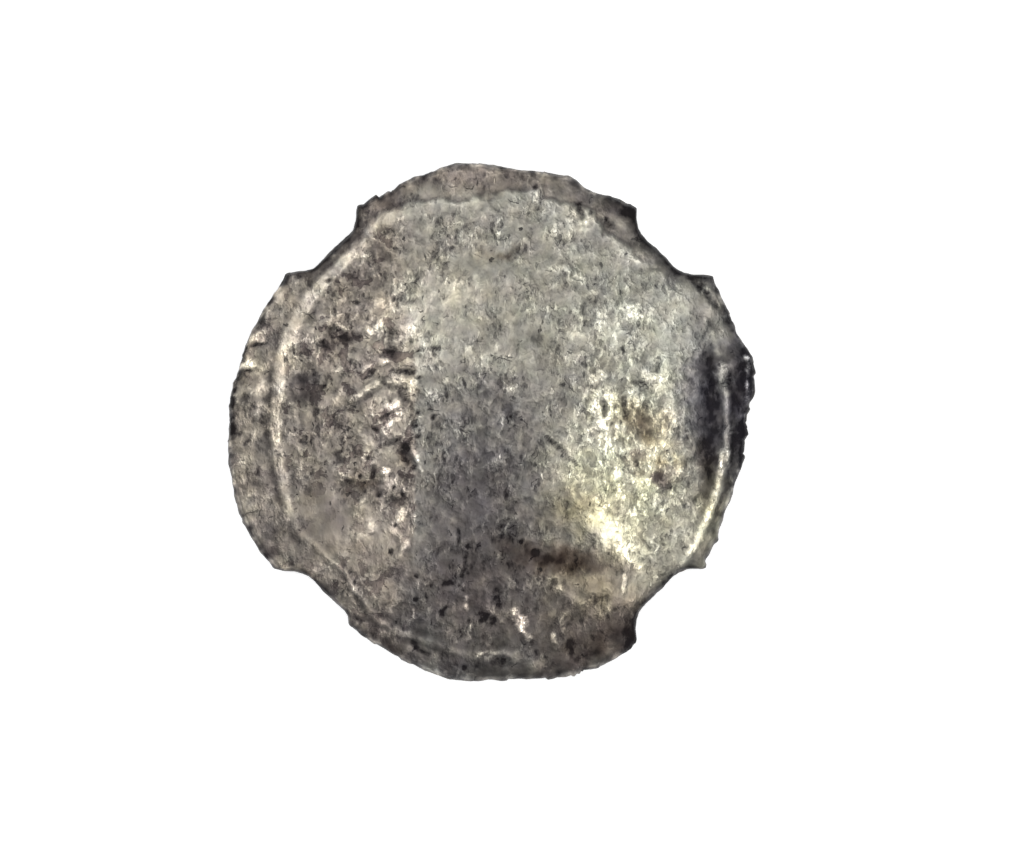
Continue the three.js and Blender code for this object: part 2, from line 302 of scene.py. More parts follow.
# Narrow marks: start, end, half width, rise and gleam
MARKS = [
    # The column of worn strokes on the left, from the top down
    (-3.24, 4.51, -2.86, 4.54, 0.06, -0.015, -0.21), (-4.55, 3.4, -4.21, 3.55, 0.25, 0.03, 0.17),
    (-4.18, 3.55, -4.1, 3.95, 0.1, 0.02, 0.14), (-3.72, 3.4, -3.72, 2.6, 0.24, -0.026, -0.22),
    (-4.48, 2.57, -3.98, 2.57, 0.15, -0.02, -0.18), (-6.05, 3.32, -5.15, 3.2, 0.22, -0.02, -0.12),
    (-5.6, 3.1, -5.2, 2.75, 0.2, -0.02, -0.14), (-3.35, 3.45, -3, 3.55, 0.18, 0.015, 0.06),
    (-2.81, 2.63, -1.94, 2.76, 0.06, -0.019, -0.28), (-4.75, 1.95, -4.15, 2.3, 0.16, 0.026, 0.14),
    (-4.2, 2.1, -3.95, 2.3, 0.09, 0.02, 0.13), (-3.78, 1.9, -2.95, 1.86, 0.09, -0.023, -0.3),
    (-4.75, 1.6, -4.4, 1.95, 0.1, -0.019, -0.17), (-5.28, 0.82, -4.3, 1.44, 0.13, 0.03, 0.12),
    (-5.1, 0.65, -4.2, 1.22, 0.06, -0.015, -0.08), (-3.78, 1.6, -2.92, 1.4, 0.2, 0.026, 0.16),
    (-4.05, 1.42, -3.57, 1.22, 0.08, -0.022, -0.2), (-3.5, 1.12, -3.24, 0.8, 0.07, -0.022, -0.2),
    (-3.08, 1.1, -3.05, 0.9, 0.18, 0.02, 0.16), (-3.88, 0.47, -3.57, 0.68, 0.2, 0.033, 0.17),
    (-3.95, 0.22, -3.5, 0.42, 0.06, -0.02, -0.2), (-4.05, -0.16, -3.4, 0.28, 0.2, 0.03, 0.16),
    (-3.98, -0.45, -3.85, -0.15, 0.22, 0.026, 0.14), (-4.17, -0.8, -3.24, -1.04, 0.22, -0.02, -0.11),
    (-3.24, -1.04, -3.05, -1.6, 0.2, -0.02, -0.14), (-3.02, -0.93, -2.81, -1.47, 0.1, 0.02, 0.14),
    (-2.81, -1.47, -2.62, -1.9, 0.07, 0.02, 0.16), (-4.85, -1.05, -4.45, -1.7, 0.26, 0.02, 0.08),
    (-5.9, -1.2, -5.66, -1.53, 0.14, -0.02, -0.17), (-5.83, -1.8, -5.23, -2.11, 0.18, 0.02, 0.08),
    (-5.6, -2.35, -5.3, -2.28, 0.13, -0.02, -0.18), (-4.53, -2.11, -4.43, -1.74, 0.12, -0.023, -0.21),
    (-4.05, -1.88, -3.88, -1.88, 0.14, 0.03, 0.17), (-4.02, -2, -3.88, -2.55, 0.3, 0.024, 0.06),
    (-3.85, -3, -3.4, -2.85, 0.18, -0.015, -0.12), (-5.12, -3.2, -4.75, -2.87, 0.08, 0.015, 0.11),
    (-3.6, -3.75, -3, -3.1, 0.16, 0.029, 0.17), (-4.64, -3.62, -4.53, -4.06, 0.2, 0.016, 0.01),
    (-4.53, -4.06, -5.07, -4.44, 0.18, 0.016, 0.03), (-3.78, -4.06, -3.24, -4.6, 0.12, 0.019, 0.12),
    (-3.24, -4.6, -3.51, -5.1, 0.14, 0.019, 0.12),
    # Grooves, hollows and pale strokes of the dark lower field
    (-1.26, -4.11, -1.23, -4.79, 0.07, -0.015, -0.2), (-0.89, -4.68, -1.08, -5.87, 0.07, -0.015, -0.22),
    (-1.54, -6.08, -1.77, -6.19, 0.08, -0.02, -0.26), (-0.3, -7.35, -0.05, -7.55, 0.2, -0.02, -0.22),
    (0.21, -6.45, 0.2, -6.95, 0.18, -0.02, -0.22), (-0.98, -6.65, -0.94, -7.05, 0.09, 0.015, 0.22),
    (-0.85, -7.8, -0.83, -8.2, 0.09, 0.015, 0.22), (-2.97, -7.1, -2.95, -7.4, 0.06, 0.01, 0.2),
    (0.15, -9.05, 0.6, -9.1, 0.2, -0.02, -0.22), (-0.6, -8.97, -0.37, -8.75, 0.06, 0.01, 0.16),
    (-1.95, -7.2, -1.62, -7.05, 0.06, -0.02, -0.25), (-3.02, -8.3, -2.75, -8.62, 0.1, -0.02, -0.24),
    (-2.6, -8.72, -2.42, -8.8, 0.09, -0.02, -0.22), (-5.2, -7.35, -4.95, -7.55, 0.1, -0.015, -0.2),
    (-1.22, -6.15, -1.05, -6.4, 0.06, -0.015, -0.2), (-2.45, -6.2, -2.2, -6.3, 0.05, -0.015, -0.16),
    (-0.37, -8.75, 0.46, -8.75, 0.06, 0.01, 0.14),
    # Rubbed crests and hollows above and on the right, with painted shadow in the hollows beside the curled
    # lump
    (3.1, 7.6, 3.6, 7.55, 0.36, 0.023, 0.12), (5.05, 6.3, 5.5, 6.2, 0.3, 0.023, 0.1),
    (5.2, 4.2, 5.85, 4, 0.34, 0.025, 0.13), (3.9, 3.7, 4.15, 3.6, 0.2, 0.019, 0.11),
    (2.75, 5.8, 2.95, 5.7, 0.14, 0.019, 0.11), (3.25, 5.5, 3.45, 5.35, 0.14, 0.019, 0.11),
    (5.95, 1.7, 6.4, 1.45, 0.32, 0.015, 0.12), (3.85, 1.55, 4.15, 1.75, 0.22, 0.02, 0.2),
    (5, 0.85, 5.06, 0.15, 0.12, -0.02, -0.24), (5.35, 1.46, 5.8, 1.42, 0.09, -0.015, -0.14),
    # The curled lump on the right, worn through in the middle
    (4.75, 0.88, 4.05, 1, 0.11, 0.018, 0.13), (4.05, 1, 3.84, 0.45, 0.2, 0.022, 0.2),
    (3.84, 0.45, 4.22, -0.2, 0.22, 0.022, 0.22), (4.22, -0.2, 4.65, 0.3, 0.17, 0.016, 0.16),
    (4.5, 0.75, 4.55, 0.25, 0.1, 0.012, 0.1), (4.24, 0.66, 4.27, 0.26, 0.13, -0.015, -0.22),
    # The shoulder on the lower right with a painted highlight along its crest, the hump below it, painted
    # glints further down, and a long scratch above it
    (4.02, -3.86, 5.05, -5.02, 0.5, 0.01, 0.06), (4.85, -4.85, 5.58, -5.55, 0.15, 0.012, 0.14),
    (5.35, -3.9, 6.1, -4.65, 0.08, 0.015, 0.09), (2.45, -5.95, 2.6, -6.35, 0.12, 0.022, 0.08),
    (2.6, -6.35, 3.3, -6.85, 0.14, 0.022, 0.07), (5.02, -5.85, 5, -6.4, 0.11, 0.02, 0.18),
    (0.85, -7.25, 1.15, -7.8, 0.2, 0.03, 0.32), (1.15, -7.8, 1.42, -8.25, 0.12, 0.025, 0.28),
    (1.22, -7.45, 1.3, -7.65, 0.14, 0.02, 0.26), (2.3, -8.1, 2.4, -8.3, 0.14, 0.023, 0.18),
    (2.9, -8.4, 3.2, -9, 0.16, -0.022, -0.13), (2.05, -0.55, 3.2, -1.65, 0.05, -0.013, -0.24),
    # Painted glints on small raised chips, and black spots in small dents, along the left edge
    (-8.9, 3.2, -8.72, 3.12, 0.24, 0.02, 0.2), (-9.1, 2.85, -8.65, 2.95, 0.07, -0.02, -0.28),
    (-9.34, 2.3, -9.16, 2.12, 0.22, 0.02, 0.3), (-9.24, 1.92, -9.1, 1.9, 0.09, -0.02, -0.34),
    (-8.7, 3.72, -8.5, 3.66, 0.17, -0.015, -0.2), (-8.75, 1.4, -8.55, 1.3, 0.26, 0.01, 0.1),
    (-9.66, 0.92, -9.68, 0.74, 0.1, 0.015, 0.4), (-9.72, 1.6, -9.88, 0.5, 0.13, -0.015, -0.36),
    (-9.42, 2.6, -9.34, 2.72, 0.13, -0.015, -0.36), (-8.88, 4.18, -8.78, 4.24, 0.11, -0.015, -0.34),
    (-9.75, -0.4, -9.55, -0.5, 0.12, -0.015, -0.3), (-9.3, -0.85, -9.1, -0.6, 0.09, -0.015, -0.24),
    (-8.9, 0.3, -8.7, 0.6, 0.16, 0.015, 0.14),
    # Painted shade on the facets where the upper bites meet the field, and black clumps on the step between
    # them
    (7.5, 5.45, 8.5, 4.35, 0.11, -0.02, -0.24), (7.55, 5.55, 7.95, 5.1, 0.16, 0, -0.16),
    (3.3, 8.15, 3.45, 7.75, 0.14, -0.015, -0.3), (4.85, 7.95, 5.25, 7.85, 0.16, -0.015, -0.2),
    (4.3, 7.6, 4.45, 7.4, 0.14, -0.015, -0.2),
    # Glints along the right edge, and the open end of the border there
    (9.45, 2.95, 9.68, 2.4, 0.08, 0.01, 0.26), (9.7, 1.95, 9.7, 1.1, 0.08, 0.01, 0.26),
    (9.66, 2.4, 9.7, 2.1, 0.09, 0.01, 0.5), (9.62, 1.45, 9.66, 1.3, 0.09, 0.01, 0.4),
    (9.66, 0.95, 9.68, 0.8, 0.08, 0.01, 0.4), (8.6, 2.2, 8.78, 2, 0.16, 0.01, 0.24),
    (8.7, -1.1, 8.66, -1.75, 0.07, 0.02, 0.34), (8.98, -1.15, 8.96, -1.75, 0.07, 0.02, 0.34),
    (8.82, -1.25, 8.82, -1.65, 0.06, -0.02, -0.24),
]

# Single pits: where each is, and half its width
PITS = [
    (-3.72, 4.62, 0.09), (-5.1, 4.45, 0.07), (-6.15, 5.3, 0.11), (-2.75, 1.66, 0.09),
    (-2.75, 0.31, 0.08), (-2.21, 0.15, 0.1), (-2.92, -0.18, 0.08), (-6.63, 0.3, 0.13),
    (-4.37, -0.31, 0.09), (-2.78, -0.6, 0.08), (-3.57, -0.72, 0.07), (-4.7, -1.39, 0.1),
    (-5.72, -1.12, 0.07), (-4.96, -2.11, 0.09), (-4.25, -2.8, 0.1), (-3.69, -2.52, 0.07),
    (-3.34, -2.76, 0.08), (-2.92, -1.77, 0.08), (-3.64, -3.92, 0.07), (-3.8, -4.92, 0.08),
    (1.7, -4.95, 0.15), (1.15, -4.55, 0.1), (-2.83, -5.87, 0.09), (-0.89, -7.58, 0.1),
    (-1.87, -7.31, 0.11), (-2.85, -6.75, 0.08), (-1.07, -9.32, 0.09), (-0.2, -7.45, 0.1),
    (-0.4, -7.55, 0.08), (3.3, 8.05, 0.1), (1.64, 8.85, 0.1), (3.75, 7.85, 0.12),
]


def ease(t):
    """The quintic 6t^5 - 15t^4 + 10t^3, which starts and ends level."""
    return t * t * t * (t * (6 * t - 15) + 10)


def step_between(value, low, high):
    """0 below low and 1 above high, eased between them."""
    return ease(np.clip((value - low) / (high - low), 0, 1))


def grain(x, y, cell, seed):
    """Gradient noise from about -1 to 1: a random slope at each corner of square cells, eased across them
    and raised by half."""
    slope = np.random.default_rng(seed).uniform(0, 2 * np.pi, (NOISE_TABLE, NOISE_TABLE))
    u, v = x / cell, y / cell
    column, row = np.floor(u).astype(int), np.floor(v).astype(int)
    s, t = u - column, v - row

    def corner(right, up):
        """How high one corner's slope stands at each point of the cell."""
        turn = slope[(column + right) % NOISE_TABLE, (row + up) % NOISE_TABLE]
        return np.cos(turn) * (s - right) + np.sin(turn) * (t - up)

    low = corner(0, 0) * (1 - ease(s)) + corner(1, 0) * ease(s)
    high = corner(0, 1) * (1 - ease(s)) + corner(1, 1) * ease(s)
    return 1.5 * (low * (1 - ease(t)) + high * ease(t))


def layered_grain(x, y, cell, layers, seed):
    """Grain summed over layers, each with half the cell and six tenths of the height of the one before."""
    return sum(0.6**k * grain(x, y, cell / 2**k, seed + k) for k in range(layers))


def bent(x, y, cell, reach, seed):
    """Moves each point by up to about the reach, by layered grain, so that marks lose their ruled edges."""
    return x + reach * layered_grain(x, y, cell, 3, seed), y + reach * layered_grain(x, y, cell, 3, seed + 5)


def streaked(x, y, turn, cell, stretch, seed):
    """Layered grain drawn out by a stretch along a direction, in degrees."""
    angle = math.radians(turn)
    along = x * math.cos(angle) + y * math.sin(angle)
    across = y * math.cos(angle) - x * math.sin(angle)
    return layered_grain(along / stretch, across, cell, 2, seed)


def pocks(x, y, cell, share, seed):
    """Round hollows from 0 to 1 deep: a share of square cells hold one each, at a random spot and width,
    and across each the depth is (1 - (distance / width)^2)^2."""
    draw = np.random.default_rng(seed)
    spot = draw.uniform(0.2, 0.8, (NOISE_TABLE, NOISE_TABLE, 2))
    width = draw.uniform(0.15, 0.5, (NOISE_TABLE, NOISE_TABLE))
    kept = draw.uniform(0, 1, (NOISE_TABLE, NOISE_TABLE)) < share
    u, v = x / cell, y / cell
    column, row = np.floor(u).astype(int), np.floor(v).astype(int)
    depth = np.zeros_like(x)
    for right in (-1, 0, 1):
        for up in (-1, 0, 1):
            i, j = (column + right) % NOISE_TABLE, (row + up) % NOISE_TABLE
            away = np.hypot(column + right + spot[i, j, 0] - u, row + up + spot[i, j, 1] - v)
            bowl = np.clip(1 - (away / width[i, j]) ** 2, 0, 1) ** 2
            depth = np.maximum(depth, bowl * kept[i, j])
    return depth


def patch(x, y, centre, reach, turn):
    """A bell curve over an ellipse with two reaches, turned by some degrees: 1 at its centre."""
    angle = math.radians(turn)
    dx, dy = x - centre[0], y - centre[1]
    along = (dx * math.cos(angle) + dy * math.sin(angle)) / reach[0]
    across = (dy * math.cos(angle) - dx * math.sin(angle)) / reach[1]
    return np.exp(-(along**2) - across**2)


def line_distance(x, y, start, end):
    """Distance from each point to the nearest point of the line from start to end."""
    run = np.subtract(end, start)
    share = ((x - start[0]) * run[0] + (y - start[1]) * run[1]) / (run @ run)
    share = np.clip(share, 0, 1)
    return np.hypot(x - start[0] - share * run[0], y - start[1] - share * run[1])


def worn_bar(distance, half_width):
    """exp(-(distance / half width)^4): a flat top with rounded shoulders."""
    return np.exp(-((distance / half_width) ** 4))


def fading(distance, reach):
    """1 at no distance, falling evenly to 0 at the reach and beyond."""
    return np.clip(1 - distance / reach, 0, 1)


def rounded(inset, radius):
    """Drop of a quarter round: the radius at the edge itself, and nothing from one radius in."""
    return radius * (1 - np.sqrt(1 - fading(inset, radius) ** 2))


def local_rise(height, reach):
    """Height less its mean over a square window of the grid: above 0 on crests and below 0 in hollows."""
    padded = np.pad(height, reach, mode="edge")
    window = 2 * reach + 1
    for axis in (0, 1):
        total = np.insert(np.cumsum(padded, axis), 0, 0, axis)
        ahead = np.take(total, np.arange(window, total.shape[axis]), axis)
        behind = np.take(total, np.arange(total.shape[axis] - window), axis)
        padded = (ahead - behind) / window
    return height - padded


def bearing_of(x, y):
    """Bearing of a point about the origin, from 0 to 360 degrees."""
    return np.degrees(np.arctan2(y, x)) % 360


def by_bearing(bearing, landmarks):
    """Each column of a list of landmarks after the first, read at bearings between its rows."""
    at, *columns = np.array(landmarks, dtype=float).T
    return [np.interp(bearing, at, column, period=360) for column in columns]


def about_dies(x, y):
    """Bearing and distance of a point about the dies' centre."""
    dx, dy = x - DIE_CENTRE[0], y - DIE_CENTRE[1]
    return bearing_of(dx, dy), np.hypot(dx, dy)


def in_bite(bearing):
    """1 inside each bite of the rim and 0 outside, eased over the last few degrees."""
    inside = np.zeros_like(bearing)
    for middle, half in BITES:
        turn = np.abs((bearing - middle + 180) % 360 - 180)
        inside = np.maximum(inside, 1 - step_between(turn, half - BITE_FADE, half))
    return inside


def chipped(bearing):
    """Depth of the chips round the rim: straight runs between random depths at random bearings."""
    draw = np.random.default_rng(11)
    corners = np.sort(draw.uniform(0, 360, CHIP_CORNERS))
    deepest, = by_bearing(bearing, CHIPS)
    return deepest * np.interp(bearing, corners, draw.uniform(-0.3, 1, CHIP_CORNERS), period=360)


def rim_radius(bearing):
    """The solid coin's outline, read round its full-width row and shifted a little, with corners and burrs
    drawn out to points, and less the chips outside the bites."""
    points = np.empty(3 * len(coin_node.data.vertices))
    coin_node.data.vertices.foreach_get("co", points)
    x, y, z = points.reshape(-1, 3).T / MM
    on_outline = np.abs(z - OUTLINE_HEIGHT) < OUTLINE_TOLERANCE
    x, y = x[on_outline], y[on_outline]
    radius = np.interp(bearing, *zip(*sorted(zip(bearing_of(x, y), np.hypot(x, y)))), period=360)
    radius += RIM_SHIFT * np.cos(np.radians(bearing - RIM_SHIFT_BEARING))
    for corner, stands in CORNERS:
        radius += stands * fading(np.abs(bearing - corner), CORNER_HALF_WIDTH)
    return radius - chipped(bearing) * (1 - in_bite(bearing))


def disc_grid(cells):
    """A square grid bent into a unit disc: each square ring of it becomes a circle of evenly spaced points.
    Gives each point's share of the radius, bearing and index, and the outer ring's indices by bearing."""
    side = np.linspace(-1, 1, cells + 1)
    a, b = np.meshgrid(side, side, indexing="ij")
    share = np.maximum(np.abs(a), np.abs(b))
    wide = np.abs(a) >= np.abs(b)
    across = np.where(wide, b, a) / np.where(share > 0, np.where(wide, a, b), 1)
    bearing = np.where(wide, 45 * across + 180 * (a < 0), 90 - 45 * across + 180 * (b < 0)) % 360
    index = np.arange((cells + 1) ** 2).reshape(cells + 1, cells + 1)
    ring = np.concatenate([index[-1, :-1], index[:0:-1, -1], index[0, :0:-1], index[:-1, 0]])
    return share, bearing, index, ring


def spread(share, bearing):
    """Places a disc grid in the rim: the radius grows evenly, and takes on the rim's form only near it, by
    the sixth power of the share."""
    rim = rim_radius(bearing) - EDGE_BULGE
    radius = share * EVEN_RADIUS + (rim - EVEN_RADIUS) * share**6
    return radius * np.cos(np.radians(bearing)), radius * np.sin(np.radians(bearing))


def edge_inset(x, y, rim_x, rim_y):
    """Distance from each point to the nearest point of the rim, a block of points at a time."""
    points = np.stack([x.ravel(), y.ravel()], 1)
    rim = np.stack([rim_x, rim_y], 1)
    blocks = np.array_split(points, INSET_BLOCKS)
    nearest = [np.hypot(*np.moveaxis(block[:, None] - rim, 2, 0)).min(1) for block in blocks]
    return np.concatenate(nearest).reshape(x.shape)


def border_line(x, y):
    """Rise and gleam of the worn border, a flat-topped bar that goes from one of its landmarks to the next,
    with a painted shadow line along its outer foot."""
    bearing, distance = about_dies(x, y)
    radius, half_width, rise, gleam = by_bearing(bearing, BORDER)
    wander = 0.05 * layered_grain(x, y, 1.4, 2, 21) + 0.03 * layered_grain(x, y, 0.35, 2, 26)
    away = distance - radius + wander
    bar = worn_bar(away, half_width)
    # A painted shadow line along the bar's outer foot
    foot = worn_bar(away - half_width - 0.08, 0.09)
    worn = 1 + np.where(x > 0, 0.7, 0.2) * layered_grain(x, y, 1.1, 2, 22)
    return rise * worn * bar, gleam * worn * (bar - 0.55 * foot)


def field_step(x, y):
    """The drop from the struck field to the margin along a scalloped line, and 1 in the margin beyond it."""
    bearing, distance = about_dies(x, y)
    radius, depth = by_bearing(bearing, FIELD_STEP)
    scallop = 0.30 * layered_grain(x, y, 1.1, 3, 23)
    beyond = step_between(distance - radius + scallop, -0.09, 0.09)
    return depth * beyond, beyond * np.clip(depth / 0.04, 0, 1)


def left_of_rub(x, y):
    """1 left of the line where the rubbed middle of the field begins, and 0 right of it. The line bends to
    the left above and below, and grows softer there."""
    line = RUB_LINE - 0.45 * step_between(-y, 3.4, 5.8) - 0.5 * step_between(y, 2.0, 5.5)
    wander = 0.14 * layered_grain(x, y, 0.7, 3, 24)
    width = 0.12 + 0.8 * step_between(np.abs(y + 1.0), 2.6, 5.0)
    return 1 - step_between(x - line + wander, -width, width)


def smooth_skin(x, y):
    """1 over the smooth skin at the lower left, fading out round it: the higher of two bell curves."""
    return np.maximum(patch(x, y, (-6.3, -3.6), (1.8, 1.4), -30), patch(x, y, (-4.3, -4.6), (1.3, 1.3), 0))


def coarse_share(x, y, left):
    """How coarse the skin is, from bell curves: more on the left, in the middle, in the lumps on the right
    and in the dark lower field, less above, and least in the smooth lower left and on the shoulder."""
    lumpy = patch(x, y, (5.0, -0.8), (2.0, 2.8), 0)
    middle = patch(x, y, (0, 0), (2.2, 1.8), 0)
    lower = patch(x, y, (-1.0, -6.0), (2.5, 1.6), 0)
    smooth = smooth_skin(x, y) + 0.5 * patch(x, y, (4.6, -4.3), (1.5, 0.7), -50)
    calm = patch(x, y, (-0.6, 4.6), (2.2, 1.6), 0) + patch(x, y, (6.6, 3.6), (1.4, 1.8), 0)
    calm -= patch(x, y, (-0.5, 7.2), (3.0, 1.2), 0) + patch(x, y, (-3.4, 5.4), (1.6, 1.6), 0)
    share = 0.50 + 0.25 * left + 0.45 * lumpy + 0.6 * middle + 0.25 * lower - 0.88 * smooth - 0.2 * calm
    return np.clip(share, 0.05, 1.2)


def crust_share(x, y):
    """How crusted the skin is, from bell curves: most on the right and a little above, and less in the curled
    lump and along the shoulder."""
    crust = patch(x, y, (5.2, -1.2), (2.4, 3.4), 15) + 0.25 * patch(x, y, (4.6, 4.6), (2.6, 2.2), 0)
    lump = patch(x, y, (4.4, 0.4), (0.8, 0.9), 0)
    shoulder = patch(x, y, (4.5, -4.0), (1.4, 0.6), -50)
    return crust * (1 - 0.8 * lump - 0.35 * shoulder)


def broad_patches(x, y):
    """Rise, silver, redness and yellowness summed over the broad patches. A rise is a bell curve. A tone is
    a bell curve of bent places, broken by mottling, and small dark ones are squared off to exp(-d^4)."""
    relief, silver, red, yellow = np.zeros((4, *x.shape))
    bent_x, bent_y = bent(x, y, 0.8, 0.26, 84)
    mottling = np.clip(layered_grain(x, y, 0.5, 3, 97), -1, 1)
    for centre, reach, turn, rise, gleam, more_red, more_yellow in PATCHES:
        relief += rise * patch(x, y, centre, reach, turn)
        spot = patch(bent_x, bent_y, centre, reach, turn)
        if max(reach) >= SMALL_REACH:
            spot *= 1 + BROAD_MOTTLING * mottling
        elif gleam < CRISP_GLEAM:
            spot = np.exp(-np.log(np.maximum(spot, 1e-6)) ** 2)
            spot *= 1 + CRISP_MOTTLING * mottling
        else:
            spot *= 1 + SMALL_MOTTLING * mottling
        silver += gleam * spot
        red += more_red * spot
        yellow += more_yellow * spot
    return relief, silver, red, yellow


def narrow_marks(x, y):
    """Rise and gleam summed over the narrow marks, uneven flat-topped bars of bent places, less the single
    pits, which are round."""
    near_x, near_y = bent(x, y, 0.40, 0.06, 31)
    uneven = 1 + 0.5 * layered_grain(x, y, 0.26, 2, 34)
    relief, strokes = np.zeros((2, *x.shape))
    for start_x, start_y, end_x, end_y, half_width, rise, gleam in MARKS:
        away = line_distance(near_x, near_y, (start_x, start_y), (end_x, end_y))
        bar = worn_bar(away, half_width) * uneven
        relief += rise * bar
        strokes += gleam * bar
    for across, up, half_width in PITS:
        bowl = worn_bar(np.hypot(near_x - across, near_y - up), half_width)
        relief -= PIT_DEPTH * bowl
        strokes -= PIT_DARKNESS * bowl
    return relief, strokes


def rim_wear(x, y, inset):
    """How far the obverse sinks and rounds off towards its rim, and the painted shade there: darker by its
    landmarks, darkest along the foot of a bite, and broken into painted glints and dark bits along the arris."""
    bearing = bearing_of(x, y)
    bite = in_bite(bearing)
    sink, reach, dark, shade_reach = by_bearing(bearing, RIM_SINK)
    worn_arris = OBVERSE_ROUND * (1 + 0.6 * layered_grain(x, y, 0.8, 2, 56))
    drop = sink * fading(inset, reach) ** 2 + rounded(inset, worn_arris)
    bits = np.clip(1.6 * layered_grain(x, y, 0.55, 3, 94), -1, 1)
    # Painted shade along the rim, broken by the bits, and deepest along the foot of a bite
    tone = -dark * (1 - 0.8 * bits * (1 - bite)) * fading(inset, shade_reach) ** 1.5
    tone -= 0.22 * bite * fading(inset, 0.13)
    # Painted glints and dark bits along the arris
    tone += 0.22 * bits * fading(inset, 0.3)
    return drop, tone


def obverse_skin(x, y, inset):
    """The obverse's height: a low dome with the border, the step to the margin, the patches, marks and pits,
    and the skin's swells, lumps and pocks, less the rim's wear. With it come the skin's tones by name."""
    border_rise, border_gleam = border_line(x, y)
    drop, margin = field_step(x, y)
    left = left_of_rub(x, y)
    outside = step_between(about_dies(x, y)[1], 8.5, 9.0)
    patch_rise, patch_silver, patch_red, patch_yellow = broad_patches(x, y)
    mark_rise, strokes = narrow_marks(x, y)
    rim_drop, rim_shade_and_glints = rim_wear(x, y, inset)
    ribbon = np.clip(6 * border_gleam, 0, 1)
    coarse = coarse_share(x, y, left) * (1 - 0.5 * ribbon - 0.3 * outside)
    torn = np.where(x > 0, 0.75, 0.35)

    detail = border_rise - drop + patch_rise + mark_rise
    detail += SWELL_HEIGHT * layered_grain(x, y, 1.9, 2, 41)
    detail += coarse * LUMP_HEIGHT * layered_grain(x * 1.15, y * 0.85, 0.9, 3, 44)
    detail -= coarse * POCK_DEPTH * pocks(x, y, 0.62, 0.30, 51)
    crest = local_rise(detail, CREST_REACH)

    # The rim's tone is painted shade and glints
    silver = OBVERSE_SILVER + (1 - torn) * border_gleam + patch_silver + rim_shade_and_glints
    silver -= 0.03 * left + 0.08 * margin
    silver += 0.14 * outside * layered_grain(x, y, 0.9, 2, 91)
    # Painted highlight streaks along the shoulder
    silver += 0.15 * streaked(x, y, -52, 0.24, 5, 98) * patch(x, y, (4.9, -4.2), (1.8, 0.9), -50)
    # Lighter on crests and darker in hollows: partly wear, partly painted highlight and shade
    silver += 3.5 * np.clip(crest, -0.03, 0.022) + 0.06 * layered_grain(x, y, 1.8, 3, 81)
    red = 0.03 + 0.08 * left + 0.05 * margin + 0.03 * layered_grain(x, y, 0.9, 3, 83) + patch_red
    yellow = 0.03 + 0.03 * left + 0.05 * layered_grain(x, y, 0.9, 3, 87) + patch_yellow
    skin = {
        "silver": silver,
        "redness": red,
        "yellowness": yellow,
        "grime": 0.30 * np.clip(-12 * crest, 0, 1),
        "coarseness": coarse,
        "blotching": np.clip(left - 0.5 * outside - 0.9 * smooth_skin(x, y), 0, 1) * (1 - ribbon),
        "crust": crust_share(x, y),
        "strokes": strokes + torn * border_gleam,
    }
    dome = EDGE_THICKNESS + DOME_RISE * (1 - (x**2 + y**2) / FLAN_RADIUS**2)
    return dome + detail - rim_drop, skin


def edge_wall(bearing, top, arris_silver):
    """Rows of points round the edge, from under the arris down to near the outline's height: a rough wall
    that bulges by a parabola. The arris's tones, painted shade and glints among them, run down it, fading by
    the square of the way left."""
    fall = np.arange(1, EDGE_ROWS + 1)[:, None] / EDGE_ROWS
    level = top + (OUTLINE_HEIGHT - WALL_GAP - top) * fall
    rough = EDGE_ROUGHNESS * layered_grain(bearing * EDGE_DEGREE, level * 3, 1.0, 3, 71)
    radius = rim_radius(bearing) - EDGE_BULGE * (2 * fall - 1) ** 2 + rough * np.sin(np.pi * fall)
    angle = np.radians(bearing)
    points = np.stack([radius * np.cos(angle), radius * np.sin(angle), level], 2).reshape(-1, 3)
    wall_silver = EDGE_TONES["silver"] + 4.0 * rough
    # The arris's tone brings its painted shade and glints down the wall
    return points, EDGE_TONES | {"silver": wall_silver + (arris_silver - wall_silver) * (1 - fall) ** 2}


def reverse_height(x, y, inset):
    """The reverse's height: a hollow field inside the flat band it rests on, with a low worn mass and a
    grained skin, rounded off at the rim."""
    radius = np.hypot(x, y)
    foot = np.abs(radius - REST_RADIUS) - REST_HALF
    field = np.where(radius < REST_RADIUS, REVERSE_HOLLOW, MARGIN_LIFT)
    height = field * step_between(foot, 0, REST_FOOT)
    skin = 0.016 * layered_grain(x, y, 1.1, 3, 61) + 0.02 * pocks(x, y, 0.7, 0.3, 62)
    height += skin * step_between(foot, 0.02, 0.2)
    height -= 0.05 * patch(x, y, (0, 0), (1.4, 3.2), 12)
    return np.maximum(height, 0) + rounded(inset, REVERSE_ROUND)


def reverse_tones(x, y, height):
    """The reverse's tones by name: more silvery on crests, and changing slowly from place to place."""
    slow = 0.12 * layered_grain(x, y, 3.2, 3, 65)
    return REVERSE_TONES | {"silver": REVERSE_TONES["silver"] + 4 * local_rise(-height, CREST_REACH) + slow}


def quads(index):
    """The four corners of each cell of a grid of indices, counter-clockwise seen from above."""
    corners = index[:-1, :-1], index[1:, :-1], index[1:, 1:], index[:-1, 1:]
    return np.stack([corner.ravel() for corner in corners], 1)


